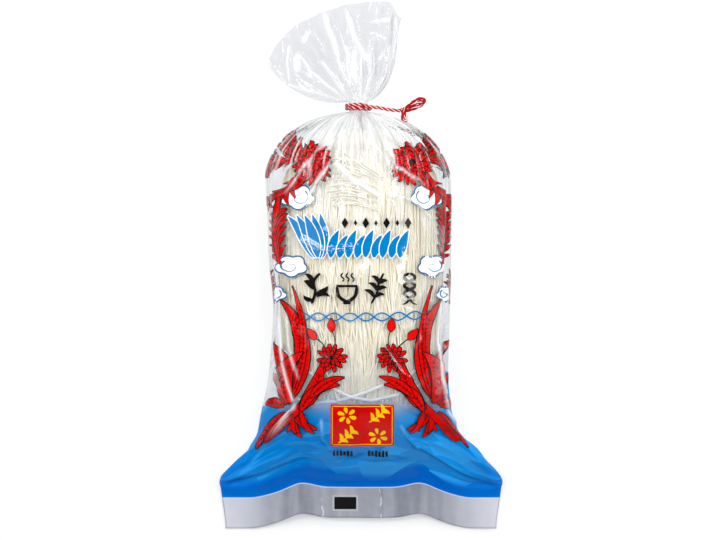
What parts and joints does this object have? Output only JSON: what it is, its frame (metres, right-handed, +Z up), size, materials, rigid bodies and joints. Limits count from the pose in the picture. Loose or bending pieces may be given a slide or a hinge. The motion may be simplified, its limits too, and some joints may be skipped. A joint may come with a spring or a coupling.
{
  "type": "bag of glass noodles",
  "caption": "Clear printed pillow bag of dry glass noodles, gathered and tied at the neck with a twisted cord, lying on its back.",
  "frame": {"origin": "centre of the footprint, on the surface that the bag lies on", "axes": "+Y along the bag from its flat seal to its open mouth, +Z up through its printed front, +X across it to the reader's right"},
  "size_m": [0.1454, 0.2704, 0.0569],
  "materials": {
    "film": "clear glossy film",
    "cord": "twisted red and white thread",
    "noodles": "dry translucent starch",
    "print": "ink on film"
  },
  "bodies": {
    "root": {"bag": "film", "tie": "cord"}
  },
  "joints": []
}
